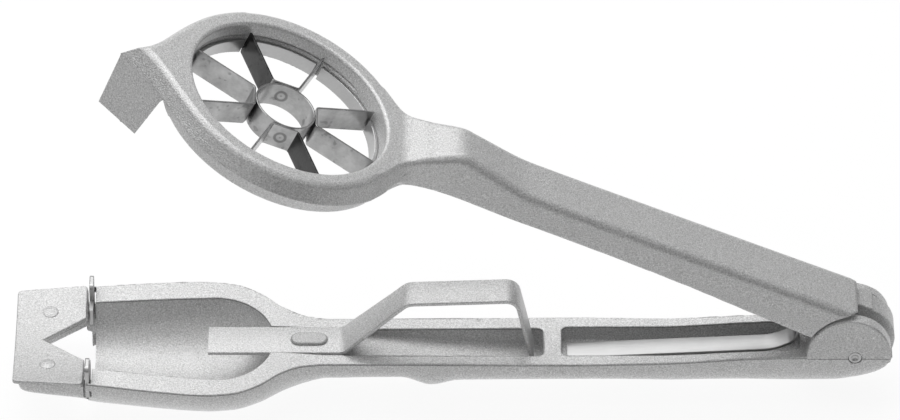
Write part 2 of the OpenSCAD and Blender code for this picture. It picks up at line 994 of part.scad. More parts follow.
module wall_strip(p, levels) {
    n = len(p);
    rows = [for (l = levels) concat(moved(p, -l[1] / 2), moved(p, l[1] / 2))];
    points = [for (k = [0:len(levels) - 1]) for (q = rows[k]) [q.x, q.y, levels[k][0]]];
    last = len(levels) - 1;
    faces = concat(
        [for (i = [0:n - 2]) [i, i + 1, n + i + 1, n + i]],
        [for (i = [0:n - 2]) let (b = last * 2 * n) [b + i, b + n + i, b + n + i + 1, b + i + 1]],
        [
            for (k = [0:last - 1], i = [0:n - 2], half = [0, 1])
                let (a = k * 2 * n + i, b = a + 2 * n)
                half == 0 ? [a, b, b + 1] : [a, b + 1, a + 1]
        ],
        [
            for (k = [0:last - 1], i = [0:n - 2], half = [0, 1])
                let (a = k * 2 * n + n + i, b = a + 2 * n)
                half == 0 ? [a, a + 1, b + 1] : [a, b + 1, b]
        ],
        [for (k = [0:last - 1]) let (a = k * 2 * n) [a, a + n, a + 3 * n, a + 2 * n]],
        [for (k = [0:last - 1]) let (a = k * 2 * n + n - 1) [a, a + 2 * n, a + 3 * n, a + n]]
    );
    polyhedron(points = points, faces = faces, convexity = 6);
}

module blade(angle) {
    color(blade_steel)
        upper()
            at_ring()
                rotate([0, 0, angle])
                    wall_strip(blade_path(), [
                        [blade_top - blade_height, 0.12],
                        [blade_top - blade_height + blade_bevel, blade_thick],
                        [blade_top, blade_thick]
                    ]);
}

module blade_front() {
    blade(180);
}

module blade_far() {
    blade(90);
}

module blade_rear() {
    blade(0);
}

module blade_near() {
    blade(270);
}

lower_handle();
tip_plate();
plate_rivets();
guide_far();
guide_near();
bow_strap();
strap_stud();
leaf_spring();
hinge_pin();
upper_handle();
retaining_ring();
core_ring();
blade_front();
blade_far();
blade_rear();
blade_near();
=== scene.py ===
import math

import bpy
import numpy as np
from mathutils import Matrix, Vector


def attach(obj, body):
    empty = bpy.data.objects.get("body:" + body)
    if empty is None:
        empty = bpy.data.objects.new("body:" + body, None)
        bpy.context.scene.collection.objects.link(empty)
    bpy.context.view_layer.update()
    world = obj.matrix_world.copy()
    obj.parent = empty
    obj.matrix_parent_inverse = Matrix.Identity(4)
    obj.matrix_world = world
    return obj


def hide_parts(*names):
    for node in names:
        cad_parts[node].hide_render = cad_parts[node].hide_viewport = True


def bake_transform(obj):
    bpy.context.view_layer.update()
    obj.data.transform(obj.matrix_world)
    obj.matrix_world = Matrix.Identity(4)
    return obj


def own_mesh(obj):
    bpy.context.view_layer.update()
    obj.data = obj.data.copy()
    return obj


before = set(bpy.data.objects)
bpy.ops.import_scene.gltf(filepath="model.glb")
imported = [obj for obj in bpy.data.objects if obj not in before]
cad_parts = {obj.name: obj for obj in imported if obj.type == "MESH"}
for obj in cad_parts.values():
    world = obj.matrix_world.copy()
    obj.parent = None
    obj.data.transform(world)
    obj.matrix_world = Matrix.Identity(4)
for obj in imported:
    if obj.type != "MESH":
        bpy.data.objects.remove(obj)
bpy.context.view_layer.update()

# Lower arm: one aluminium casting with a slab at the tip, a scoop, a hand grip and two hinge ears.
# It is die cast and sprayed in a fine silver paint. A thin line runs round it where the dies met.
# Its shape is written as a field, negative inside, from the same stations as the casting's drawing.
# All fields are in millimetres about the hinge pin: a runs from the pin to the tip, y across and z up.

PIN = np.array([94.15, 0.0, 14.5])
PIN_RADIUS = 1.65
NOTCH_ANGLE, NOTCH_APEX = math.radians(37.5), 191.2
TIP_END, HEEL_END = 196.7, -8.8
SLOT_FRONT, SLOT_REAR = 181.2, 179.3
DISH_RADIUS, DISH_CENTRE = 97.0, 95.5
TROUGH_REAR, EGG_LENGTH = 150.5, 13.7
EAR_AT, EAR_RISE, EAR_RADIUS = 1.4, 0.4, 9.9
EAR_HALF, EAR_DRAFT, EAR_FOOT = 8.5, 0.122, -1.45
GAP_LOW, GAP_HIGH, GAP_NEAR, GAP_FAR = 10.6, 12.9, -4.6, 4.95
COARSENESS = 1.0


def curve(stations):
    """A smooth curve through [position, value] pairs that never overshoots them."""
    x, v = np.array(stations, float).T
    h = np.diff(x)
    s = np.diff(v) / h
    both = s[1:] * s[:-1]
    total = np.where(s[1:] + s[:-1] == 0, 1, s[1:] + s[:-1])
    m = np.concatenate([s[:1], np.where(both > 0, 2 * both / total, 0), s[-1:]])

    def at(a):
        a = np.clip(a, x[0], x[-1])
        i = np.clip(np.searchsorted(x, a) - 1, 0, len(x) - 2)
        t = (a - x[i]) / h[i]
        up, down = t * t * (3 - 2 * t), t * t * (t - 1)
        return v[i] * (1 - up) + v[i + 1] * up + h[i] * (m[i] * (down - t * t + t) + m[i + 1] * down)

    return at


def round_max(a, b, r):
    """Where both fields hold, with the edge between them rounded to radius r."""
    return np.minimum(-r, np.maximum(a, b)) + np.sqrt(np.maximum(a + r, 0) ** 2 + np.maximum(b + r, 0) ** 2)


def round_min(a, b, r):
    """Where either field holds, with the corner between them filled to radius r."""
    return -round_max(-a, -b, r)


def gradient(field, p, reach=0.02):
    """Unit normals of the field at points."""
    out = np.empty_like(p)
    for k in range(3):
        ahead, behind = p.copy(), p.copy()
        ahead[:, k] += reach
        behind[:, k] -= reach
        out[:, k] = field(*ahead.T) - field(*behind.T)
    return out / np.maximum(np.linalg.norm(out, axis=1, keepdims=True), 1e-9)


def skin(field, low, high, step):
    """The surface where the field is zero, as corners and quads: one corner in each cell of a grid that it
    crosses, put where the surface's planes in that cell meet, so that sharp edges stay sharp."""
    low = np.array(low, float)
    count = np.ceil((np.array(high) - low) / step).astype(int) + 1
    xs, ys, zs = [low[k] + step * np.arange(count[k]) for k in range(3)]
    values = np.empty(count, np.float32)
    batch, rounds, softness, slack = 24, 5, 0.06, 0.6
    for i in range(0, count[0], batch):
        values[i:i + batch] = field(xs[i:i + batch, None, None], ys[None, :, None], zs[None, None, :])
    inside = values < 0
    points, normals, cells, flips = [], [], [], []
    for k in range(3):
        near = tuple(slice(None, -1) if j == k else slice(None) for j in range(3))
        far = tuple(slice(1, None) if j == k else slice(None) for j in range(3))
        at = np.argwhere(inside[near] != inside[far])
        start = low + step * at
        f0 = values[tuple(at.T)].astype(float)
        f1 = values[tuple((at + np.eye(3, dtype=int)[k]).T)].astype(float)
        lower_in = f0 < 0
        t0, t1 = np.zeros(len(at)), np.ones(len(at))
        for _ in range(rounds):
            t = t0 + (t1 - t0) * np.clip(f0 / (f0 - f1), 0.05, 0.95)
            p = start.copy()
            p[:, k] += t * step
            f = field(*p.T)
            low_side = (f < 0) == lower_in
            t0, f0 = np.where(low_side, t, t0), np.where(low_side, f, f0)
            t1, f1 = np.where(low_side, t1, t), np.where(low_side, f1, f)
        p[:, k] = start[:, k] + step * (t0 + t1) / 2
        one, two = np.eye(3, dtype=int)[(k + 1) % 3], np.eye(3, dtype=int)[(k + 2) % 3]
        around = np.stack([at, at - one, at - one - two, at - two], 1)
        points.append(p)
        normals.append(gradient(field, p))
        cells.append((around[..., 0] * count[1] + around[..., 1]) * count[2] + around[..., 2])
        flips.append(lower_in)
    points, normals, cells, flips = map(np.concatenate, (points, normals, cells, flips))
    used, index = np.unique(cells, return_inverse=True)
    index = index.reshape(-1, 4)
    flat, n = index.ravel(), len(used)

    def gather(w):
        return np.bincount(flat, np.repeat(w, 4), n)

    share = gather(np.ones(len(points)))
    middle = np.stack([gather(points[:, k]) / share for k in range(3)], 1)
    planes = np.empty((n, 3, 3))
    for i in range(3):
        for j in range(3):
            planes[:, i, j] = gather(normals[:, i] * normals[:, j])
    along = (normals * points).sum(1)
    pull = np.stack([gather(normals[:, k] * along) for k in range(3)], 1) - np.einsum("nij,nj->ni", planes, middle)
    corners = middle + np.linalg.solve(planes + softness * np.eye(3), pull[..., None])[..., 0]
    cell = np.stack([used // (count[1] * count[2]), used // count[2] % count[1], used % count[2]], 1)
    corners = np.clip(corners, low + step * (cell - slack), low + step * (cell + 1 + slack))
    quads = np.where(flips[:, None], index, index[:, ::-1])
    return corners, quads


def new_mesh(name, corners, faces):
    """A mesh from corners and quads or triangles, all of the same kind."""
    mesh = bpy.data.meshes.new(name)
    mesh.vertices.add(len(corners))
    mesh.vertices.foreach_set("co", np.asarray(corners, float).ravel())
    faces = np.asarray(faces)
    mesh.loops.add(faces.size)
    mesh.loops.foreach_set("vertex_index", faces.ravel())
    mesh.polygons.add(len(faces))
    mesh.polygons.foreach_set("loop_start", np.arange(0, faces.size, faces.shape[1]))
    mesh.update(calc_edges=True)
    mesh.validate()
    return mesh


def show(name, mesh):
    """A new object of the scene with this data."""
    piece = bpy.data.objects.new(name, mesh)
    bpy.context.scene.collection.objects.link(piece)
    return piece


def plain(piece):
    """The piece with its modifiers made part of its mesh."""
    made = bpy.data.meshes.new_from_object(piece.evaluated_get(bpy.context.evaluated_depsgraph_get()))
    piece.modifiers.clear()
    piece.data = made
    return piece


def cast(name, field, low, high, step, turn=0.0, keep=1.0, line=None):
    """A piece from a field in millimetres about the hinge pin. Its shading follows the field, not the facets.
    turn swings it about the pin, keep is the share of faces that it keeps, and line gives the height above the
    line where the dies met."""
    inset = 0.13
    corners, quads = skin(field, low, high, step * COARSENESS)
    piece = show(name, new_mesh(name, corners, quads))
    if keep < 1:
        thin = piece.modifiers.new("thin", "DECIMATE")
        thin.ratio = keep
        plain(piece)
    mesh = piece.data
    n = len(mesh.vertices)
    corners = np.empty(n * 3)
    mesh.vertices.foreach_get("co", corners)
    corners = corners.reshape(-1, 3)
    owner = np.empty(len(mesh.loops), int)
    mesh.loops.foreach_get("vertex_index", owner)
    sides = np.empty(len(mesh.polygons), int)
    mesh.polygons.foreach_get("loop_total", sides)
    face = np.repeat(np.arange(len(sides)), sides)
    centre = np.stack([np.bincount(face, corners[owner, k]) / sides for k in range(3)], 1)
    inward = centre[face] - corners[owner]
    length = np.linalg.norm(inward, axis=1, keepdims=True)
    spot = corners[owner] + inward * np.minimum(1, inset / np.maximum(length, 1e-6))
    normals = gradient(field, spot)
    c, s = math.cos(math.radians(turn)), math.sin(math.radians(turn))
    swing = np.array([[c, 0, s], [0, 1, 0], [-s, 0, c]])
    if line is not None:
        height = mesh.attributes.new("line", "FLOAT", "POINT")
        height.data.foreach_set("value", line(*corners.T).astype(np.float32))
    mesh.vertices.foreach_set("co", ((corners @ swing.T + PIN) / 1000).ravel())
    mesh.polygons.foreach_set("use_smooth", np.ones(len(sides), bool))
    mesh.normals_split_custom_set(normals @ swing.T)
    mesh.update()
    return piece


class Socket:
    """A shader socket that arithmetic can be written with."""

    def __init__(self, tree, socket):
        self.tree, self.socket = tree, socket

    def math(self, operation, *others):
        """A maths node of this socket and others, which may be numbers."""
        node = self.tree.nodes.new("ShaderNodeMath")
        node.operation = operation
        for k, value in enumerate([self, *others]):
            if isinstance(value, Socket):
                self.tree.links.new(value.socket, node.inputs[k])
            else:
                node.inputs[k].default_value = value
        return Socket(self.tree, node.outputs[0])

    def __add__(self, other):
        return self.math("ADD", other)

    def __sub__(self, other):
        return self.math("SUBTRACT", other)

    def __rsub__(self, other):
        return (self * -1).math("ADD", other)

    def __mul__(self, other):
        return self.math("MULTIPLY", other)

    def __abs__(self):
        return self.math("ABSOLUTE")

    __radd__, __rmul__ = __add__, __mul__

    def fade(self, full, none):
        """1 at full or beyond it, 0 at none, and smooth between."""
        node = self.tree.nodes.new("ShaderNodeMapRange")
        node.interpolation_type = "SMOOTHSTEP"
        low, high = min(full, none), max(full, none)
        self.tree.links.new(self.socket, node.inputs["Value"])
        node.inputs["From Min"].default_value, node.inputs["From Max"].default_value = low, high
        node.inputs["To Min"].default_value = 1.0 if full < none else 0.0
        node.inputs["To Max"].default_value = 0.0 if full < none else 1.0
        return Socket(self.tree, node.outputs["Result"])


class Finish:
    """A material, or the world, and the nodes it is made of."""

    def __init__(self, name, world=None):
        self.material = world or bpy.data.materials.new(name)
        self.material.use_nodes = True
        self.tree = self.material.node_tree
        self.tree.nodes.clear()

    def node(self, kind, settings=None, output=0, **inputs):
        """A shader node, its settings first and then its sockets by name, or by number as i0, i1 and so on."""
        made = self.tree.nodes.new("ShaderNode" + kind)
        for key, value in (settings or {}).items():
            setattr(made, key, value)
        for key, value in inputs.items():
            name = key.replace("_", " ")
            socket = made.inputs[int(key[1:])] if key[0] == "i" and key[1:].isdigit() else made.inputs[name]
            if isinstance(value, Socket):
                self.tree.links.new(value.socket, socket)
            else:
                socket.default_value = value
        return Socket(self.tree, made.outputs[output])

    def place(self):
        return self.node("TexCoord", output="Object")

    def noise(self, scale, detail=2.0, rough=0.5, at=None):
        return self.node("TexNoise", Vector=at or self.place(), Scale=scale, Detail=detail, Roughness=rough)

    def grey(self, value):
        """A neutral colour of that value."""
        return self.node("CombineColor", Red=value, Green=value, Blue=value)

    def out(self, surface):
        """Ends the tree in this surface, and gives the material."""
        world = isinstance(self.material, bpy.types.World)
        end = self.tree.nodes.new("ShaderNodeOutputWorld" if world else "ShaderNodeOutputMaterial")
        self.tree.links.new(surface.socket, end.inputs["Surface"])
        return self.material


def silver_paint(name, tone, cast_line):
    """Silver paint: fine aluminium flake with painted glints, bright dots well under a millimetre in its colour, over a
    slight orange peel.
    cast_line adds the dark hairline where the dies met."""
    f = Finish(name)
    grain = f.noise(3000, 0.0, 0.5)
    flake = f.noise(4300, 1.0, 0.5)
    cloud = f.noise(60, 2.0, 0.5)
    # Bright dots where the flake noise is high: painted glints in the paint's colour
    painted_glint = flake.fade(0.74, 0.56)
    value = tone * (0.48 + grain * 0.8 + painted_glint * 0.4 + cloud * 0.1)
    if cast_line:
        below_rim, darkness = 0.34, 0.62
        height = f.node("Attribute", {"attribute_name": "line"}, "Fac")
        value = value * (1 - darkness * abs(height + below_rim).fade(0.03, 0.2))
    bump = f.node("Bump", Strength=0.5, Distance=0.0002, Height=grain * 0.7 + flake * 0.3)
    return f.out(f.node(
        "BsdfPrincipled", Base_Color=f.grey(value), Metallic=0.25, Roughness=0.28 + grain * 0.12, Normal=bump,
    ))


half_width = curve([
    [-8.6, 7.6], [-7, 8.3], [0, 8.5], [24, 7.9], [47, 8.2], [64.9, 8.6], [123.9, 8.2], [129.9, 9.2], [134.9, 11.9],
    [140.3, 16.65], [146, 19.55], [152.9, 20.45], [161.9, 19.85], [179.2, 17.75], [195.2, 16.15], [196.7, 15.55],
])
rim_height = curve([[10, 0], [24, -0.6], [47, -1.9], [123.9, -2.1], [134.9, -1.5], [149.9, -1.1], [179.3, -0.1]])
casting_depth = curve([
    [-8.8, 0.8], [-8.3, 2.6], [-7, 5], [-4.6, 6.9], [0, 8.6], [5, 9.6], [11, 9.8], [39, 8.1], [64.9, 7], [92.9, 7.4],
    [99.7, 9.2], [106.9, 6.4], [123.9, 6.9], [126.5, 7.6], [128.9, 8.7], [131.9, 10.2], [137.9, 12.1], [149.9, 13.6],
    [176.3, 12.3], [180.05, 11.6], [180.25, 6.8], [183.25, 6.3], [191.7, 5.5], [194.7, 5.1], [195.9, 4.4], [196.7, 2.6],
])
squareness = curve([[-8, 3], [119.9, 3], [134.9, 2.2], [149.9, 2.05], [180.05, 2.3], [180.25, 5], [196.7, 5]])
trough_width = curve([[150.5, 14.7], [161.9, 13.8], [179.3, 11.9]])
trough_depth = curve([[150.5, 11], [161.9, 10.9], [179.3, 10.4]])
bow_floor = curve([[72.2, -7.35], [99.2, -5.4], [108.9, -4.4], [122, -3.5]])


def bowl(y, z, width, depth, power, behind=0.0):
    """Distance from a rounded trough shape, which may close like the end of an egg."""
    u, v = np.abs(y) / width, np.maximum(-z, 0) / depth
    ring = np.maximum((u ** power + v ** power) ** (1 / power), 1e-6)
    s = np.maximum(np.sqrt(ring ** 2 + behind ** 2), 1e-6)
    slope = ring / s * np.sqrt(((u / ring) ** (power - 1) / width) ** 2 + ((v / ring) ** (power - 1) / depth) ** 2)
    return (s - 1) / np.maximum(slope, 0.03)


def notch_side(a, y, apex=NOTCH_APEX):
    """Distance outside the V of the notch, or of the wedge that goes into it."""
    return (a - apex) * math.sin(NOTCH_ANGLE) + np.abs(y) * math.cos(NOTCH_ANGLE)


def block(a, y, rear, front, half, level):
    """A straight-sided block across the arm, with its bottom or top given as a field."""
    return np.maximum(np.maximum(rear - a, a - front), np.maximum(np.abs(y) - half, level))


def pocket(a, y, z, rear, front, near, far, floor, corner=1.5):
    """A drafted pocket with round corners, open above."""
    depth = 0.14 * (z - floor)
    ends = np.maximum(rear - a, a - front)
    sides = np.maximum(-near - y, y - far) + np.maximum(1 - depth, 0) * 0.5
    return round_max(round_max(ends, sides, corner), floor - z, 0.3)


def lower_field(x, y, z):
    a = -x
    # The arm's outside, cut off flat at the floor, the rim and both ends
    rim = rim_height(a)
    side = bowl(y, z - rim + 0.35, half_width(a), casting_depth(a), squareness(a))
    body = round_max(np.maximum(side, -PIN[2] - z), z - rim, 0.3)
    body = np.maximum(round_max(body, a - TIP_END, 0.8), HEEL_END - a)
    # The hinge ears, which lean in towards their tops
    disc = np.hypot(a - EAR_AT, z - EAR_RISE) - EAR_RADIUS
    ear = np.maximum(round_max(disc, np.abs(y) - EAR_HALF + np.maximum(z, 0) * EAR_DRAFT, 0.45), EAR_FOOT - z)
    body = round_min(body, ear, 0.15)
    # The trough, closed at its rear like an egg, and the V notch at the tip
    behind = np.maximum(TROUGH_REAR - a, 0) / EGG_LENGTH
    trough = bowl(y, z - rim, trough_width(a), trough_depth(a), 2.1, behind)
    body = round_max(body, -np.maximum(trough, a - SLOT_FRONT), 0.35)
    body = np.maximum(body, -np.maximum(notch_side(a, y), SLOT_REAR - a))
    # The slot of the guide ears, the seat of the dished plate and the hollow under the tip
    slot = block(a, y, SLOT_REAR, SLOT_FRONT, half=17.4, level=-4.55 - z)
    body = np.maximum(body, -slot)
    dish = np.maximum(np.hypot(y, z - DISH_CENTRE) - DISH_RADIUS - 1.05, SLOT_FRONT - a)
    body = np.maximum(body, -dish)
    underside = block(a, y, rear=181.5, front=194.6, half=12.4, level=z + 4.1)
    body = round_max(body, -underside, 0.3)
    # The pocket that the bow stands in, the pocket of the spring and the recess under the strap
    bow_pocket = pocket(a, y, z, rear=73.2, front=121, near=5.4, far=4.85, floor=bow_floor(a))
    body = round_max(body, -bow_pocket, 0.3)
    grip_pocket = pocket(a, y, z, rear=13, front=68.9, near=5.4, far=5.4, floor=-6.0)
    body = round_max(body, -grip_pocket, 0.3)
    recess = block(a, y, rear=120, front=139.9, half=4.8, level=-2.5 - z)
    body = np.maximum(body, -recess)
    # The gap between the ears that the knuckle turns in, and the bore of the pin
    low_gap = np.maximum(a - GAP_LOW, z)
    high_gap = np.maximum(a - GAP_HIGH, -z)
    gap = np.minimum(np.minimum(low_gap, high_gap), np.hypot(a, z) - GAP_LOW)
    body = round_max(body, -round_max(gap, np.maximum(GAP_NEAR - y, y - GAP_FAR), 0.3), 0.2)
    return np.maximum(body, PIN_RADIUS - np.hypot(a, z))


def above_rim(x, y, z):
    """Height over the line where the dies met, which follows the rim and runs through the pin at the ears."""
    return np.where(-x < 11, np.minimum(z, 0) - np.where(z > 0, 4, 0), z - rim_height(-x))


lower_casting = cast(
    "lower_casting", lower_field, (-198, -21.4, -15.4), (9.6, 21.4, 11), 0.42, keep=0.55, line=above_rim,
)
lower_casting.data.materials.append(silver_paint("cast_silver_paint", 0.6, True))
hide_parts("lower_handle")
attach(lower_casting, "lower_arm")

# Tip plate: a millimetre of sheet steel, dished across and painted with the arm.
# The V notch is cut through plate and casting together, and two rivets hold the plate down.
# Its cut edges are a little rounded by the paint.

PLATE_END, PLATE_REAR = 197.9, 181.35
PLATE_HALF, PLATE_TAPER, PLATE_THICKNESS = 16.2, 0.0967, 1


def plate_field(x, y, z):
    a = -x
    axis = np.hypot(y, z - DISH_CENTRE)
    slant = (np.abs(y) - PLATE_HALF - (PLATE_END - a) * PLATE_TAPER) * 0.995
    outline = round_max(round_max(a - PLATE_END, PLATE_REAR - a, 0.1), slant, 1.0)
    outline = np.maximum(outline, -notch_side(a, y))
    return round_max(round_max(outline, axis - DISH_RADIUS - PLATE_THICKNESS, 0.15), DISH_RADIUS - axis, 0.36)


tip_plate = cast("tip_sheet", plate_field, (-198.6, -18.6, -3.2), (-180.6, 18.6, 1), 0.22)
tip_plate.data.materials.append(silver_paint("sheet_silver_paint", 0.54, False))
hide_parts("tip_plate")
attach(tip_plate, "lower_arm")

# Rivets of the tip plate: two low domed heads, pressed flush and painted over.
# One dome is repeated at both places, square to the dished plate.


def feed(tree, socket, value):
    """Links a value to a socket of a geometry tree, or sets it there."""
    if isinstance(value, bpy.types.NodeSocket):
        tree.links.new(value, socket)
    else:
        socket.default_value = value


def tree_node(tree, kind, settings=None, **inputs):
    """A node of a geometry tree, its settings first and then its sockets."""
    made = tree.nodes.new(kind)
    for key, value in (settings or {}).items():
        setattr(made, key, value)
    for key, value in inputs.items():
        feed(tree, made.inputs[key.replace("_", " ")], value)
    return made


def tree_maths(tree, operation, *values):
    """The result of a maths node of a geometry tree."""
    made = tree.nodes.new("ShaderNodeMath")
    made.operation = operation
    for socket, value in zip(made.inputs, values):
        feed(tree, socket, value)
    return made.outputs[0]


def grow(name, mesh, tree, sizes):
    """A piece whose mesh a geometry tree makes from the given mesh and sizes, in the tree's one finish."""
    piece = show(name, mesh)
    maker = piece.modifiers.new("maker", "NODES")
    maker.node_group = tree
    for item in tree.interface.items_tree:
        if item.in_out == "INPUT" and item.name in sizes:
            maker[item.identifier] = sizes[item.name]
    last = next(node for node in tree.nodes if node.bl_idname == "GeometryNodeSetMaterial")
    colour = last.inputs["Material"].default_value
    plain(piece)
    piece.data.name = name
    piece.data.materials.clear()
    piece.data.materials.append(colour)
    piece.data.polygons.foreach_set("material_index", np.zeros(len(piece.data.polygons), int))
    return piece


def new_tree(name, sizes, colour):
    """A geometry tree with named sizes, its input, and a way to end it in one finish."""
    tree = bpy.data.node_groups.new(name, "GeometryNodeTree")
    tree.interface.new_socket("Geometry", in_out="INPUT", socket_type="NodeSocketGeometry")
    for key, value in sizes.items():
        kind = "NodeSocketInt" if isinstance(value, int) else "NodeSocketFloat"
        tree.interface.new_socket(key, in_out="INPUT", socket_type=kind).default_value = value
    tree.interface.new_socket("Geometry", in_out="OUTPUT", socket_type="NodeSocketGeometry")
    given = tree.nodes.new("NodeGroupInput")

    def end(geometry):
        real = tree_node(tree, "GeometryNodeRealizeInstances", Geometry=geometry)
        smooth = tree_node(tree, "GeometryNodeSetShadeSmooth", Geometry=real.outputs[0])
        done = tree_node(tree, "GeometryNodeSetMaterial", Geometry=smooth.outputs[0], Material=colour)
        tree.links.new(done.outputs[0], tree.nodes.new("NodeGroupOutput").inputs[0])

    return tree, given, end


sizes = {"Head radius": 0.00188, "Head height": 0.00036, "Dish radius": DISH_RADIUS / 1000}
tree, given, end = new_tree("rivet_heads", sizes, tip_plate.data.materials[0])
dome = tree_node(tree, "GeometryNodeMeshUVSphere", Segments=48, Rings=24, Radius=1.0)
spread = tree_node(
    tree, "ShaderNodeCombineXYZ", X=given.outputs["Head radius"], Y=given.outputs["Head radius"],
    Z=given.outputs["Head height"],
)
squat = tree_node(tree, "GeometryNodeTransform", Geometry=dome.outputs["Mesh"], Scale=spread.outputs[0])
# The dome leans with the dish: its tilt is the arcsine of how far out it sits over the dish's radius
spot = tree_node(tree, "GeometryNodeInputPosition")
across = tree_node(tree, "ShaderNodeSeparateXYZ", Vector=spot.outputs[0])
ratio = tree_maths(tree, "DIVIDE", across.outputs["Y"], given.outputs["Dish radius"])
tilt = tree_node(tree, "ShaderNodeCombineXYZ", X=tree_maths(tree, "ARCSINE", ratio))
heads = tree_node(
    tree, "GeometryNodeInstanceOnPoints", Points=given.outputs["Geometry"], Instance=squat.outputs[0],
    Rotation=tilt.outputs[0],
)
end(heads.outputs[0])
seat_mesh = bpy.data.meshes.new("rivet_seats")
rivet_at, rivet_out = 189.9, 9.4
seat_mesh.from_pydata(
    [
        tuple((np.array([-rivet_at, y, DISH_CENTRE - math.sqrt(DISH_RADIUS ** 2 - y * y)]) + PIN) / 1000)
        for y in (-rivet_out, rivet_out)
    ], [], [],
)
rivets = grow("rivets", seat_mesh, tree, sizes)
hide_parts("plate_rivets")
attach(rivets, "lower_arm")

# Guide ears: two tabs of bare sheet steel, let into slots beside the notch.
# Each has a rounded flag above the rim that leads the wedge in.


def bare_steel(name, tone, rough, blotch=0.1, brush=(1, 1, 1)):
    """Bare steel: bright, faintly brushed, with clouds and spots left by handling."""
    f = Finish(name)
    place = f.node("Mapping", Vector=f.place(), Scale=brush)
    fine = f.noise(1500, 3.0, 0.6, place)
    cloud = f.noise(160, 3.0, 0.6)
    value = tone * (1 - blotch * 0.9 + fine * 0.16 + cloud * blotch)
    bump = f.node("Bump", Strength=0.15, Distance=0.0001, Height=fine)
    return f.out(f.node(
        "BsdfPrincipled", Base_Color=f.grey(value), Metallic=1.0, Roughness=rough + cloud * 0.1, Normal=bump,
    ))


TAB_AT, TAB_OUTER = 180.25, 17.36
FLAG_INNER, FLAG_TOP, FOOT_INNER = 12.36, 4.2, 8.85
ear_steel = bare_steel("ear_steel", 0.42, 0.34)
for name, side in (("far", 1), ("near", -1)):

    def ear_field(x, y, z):
        out = side * y
        flag = np.maximum(round_max(np.maximum(FLAG_INNER - out, out - TAB_OUTER), z - FLAG_TOP, 1.4), -0.3 - z)
        foot = np.maximum(np.maximum(FOOT_INNER - out, out - TAB_OUTER), np.maximum(z + 0.1, -4.5 - z))
        return round_max(np.minimum(flag, foot), np.abs(-x - TAB_AT) - 0.5, 0.2)

    inner, outer = sorted((side * 8, side * 18))
    ear = cast("guide_ear_" + name, ear_field, (-181.2, inner, -5), (-179.3, outer, 4.8), 0.2)
    ear.data.materials.append(ear_steel)
    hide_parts("guide_" + name)
    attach(ear, "lower_arm")

# Bow strap: one strip of spring steel, painted, from a tongue in the trough up to a bow and down into the grip.
# When the arms close, the channel above presses the bow and the tongue lifts the radish out.
# It is swept along its side profile, and its edges then move out to its width, which narrows over the bow.


def bent(corners, steps=8):
    """A path through corners (distance, height, radius), with the inner ones rounded."""
    c = [np.array(q[:2], float) for q in corners]
    path = [c[0]]
    for i in range(1, len(c) - 1):
        u, v = c[i - 1] - c[i], c[i + 1] - c[i]
        u, v = u / np.linalg.norm(u), v / np.linalg.norm(v)
        half, radius = math.acos(np.clip(u @ v, -1, 1)) / 2, corners[i][2]
        middle = c[i] + (u + v) / np.linalg.norm(u + v) * radius / math.sin(half)
        one, two = (c[i] + w * radius / math.tan(half) - middle for w in (u, v))
        start = math.atan2(one[1], one[0])
        sweep = (math.atan2(two[1], two[0]) - start + math.pi) % (2 * math.pi) - math.pi
        for k in range(steps + 1):
            t = start + sweep * k / steps
            path.append(middle + radius * np.array([math.cos(t), math.sin(t)]))
    return path + [c[-1]]


def finely(path, gap):
    """The path with points added, so that none are much more than gap apart."""
    dense = [path[0]]
    for q in path[1:]:
        last = dense[-1]
        parts = max(1, int(np.linalg.norm(q - last) / gap))
        dense += [last + (q - last) * (k + 1) / parts for k in range(parts)]
    return dense


def strip(name, path, width, sizes, colour):
    """A flat strip along a side profile in millimetres about the pin, its width given along the path."""
    tree, given, end = new_tree(name, sizes, colour)
    shape = tree_node(
        tree, "GeometryNodeCurvePrimitiveQuadrilateral", Width=given.outputs["Core width"],
        Height=given.outputs["Thickness"],
    )
    soft = tree_node(tree, "GeometryNodeFilletCurve", Curve=shape.outputs[0], Radius=given.outputs["Edge radius"])
    soft.mode = "POLY"
    soft.inputs["Count"].default_value = 3
    rail = tree_node(tree, "GeometryNodeMeshToCurve", Mesh=given.outputs["Geometry"])
    sweep = tree_node(tree, "GeometryNodeCurveToMesh", Curve=rail.outputs[0], Profile_Curve=soft.outputs[0])
    sweep.inputs["Fill Caps"].default_value = True
    spot = tree_node(tree, "GeometryNodeInputPosition")
    across = tree_node(tree, "ShaderNodeSeparateXYZ", Vector=spot.outputs[0])
    sign = tree_maths(tree, "SIGN", across.outputs["Y"])
    reach = tree_node(tree, "GeometryNodeInputNamedAttribute", {"data_type": "FLOAT"}, Name="reach")
    offset = tree_node(tree, "ShaderNodeCombineXYZ", Y=tree_maths(tree, "MULTIPLY", sign, reach.outputs[0]))
    wide = tree_node(tree, "GeometryNodeSetPosition", Geometry=sweep.outputs[0], Offset=offset.outputs[0])
    end(wide.outputs[0])
    rail_mesh = bpy.data.meshes.new(name + "_path")
    points = [tuple((np.array([-q[0], 0, q[1]]) + PIN) / 1000) for q in path]
    rail_mesh.from_pydata(points, [(k, k + 1) for k in range(len(points) - 1)], [])
    half = rail_mesh.attributes.new("reach", "FLOAT", "POINT")
    half.data.foreach_set("value", np.array([width(q) / 2000 - sizes["Core width"] / 2 for q in path], np.float32))
    piece = grow(name, rail_mesh, tree, sizes)
    piece.data.set_sharp_from_angle(angle=math.radians(40))
    return piece


strap_tops = [(152.3, -1.55, 0), (120.6, -1.55, 2.5), (105.4, 12.95, 4.0), (79.3, 13.95, 3.5), (75.4, -4.6, 0)]
strap_path = bent(strap_tops)
strap_thickness = 0.9
middle_line = []
for k, q in enumerate(strap_path):
    d = strap_path[min(k + 1, len(strap_path) - 1)] - strap_path[max(k - 1, 0)]
    middle_line.append(q + strap_thickness / 2 * np.array([-d[1], d[0]]) / np.linalg.norm(d))


def strap_width(q):
    """The strap's width at a point of its path: it narrows over the bow."""
    narrow, more, start, length = 8.1, 1.2, 108.4, 10
    return narrow + more * float(np.clip((q[0] - start) / length, 0, 1))


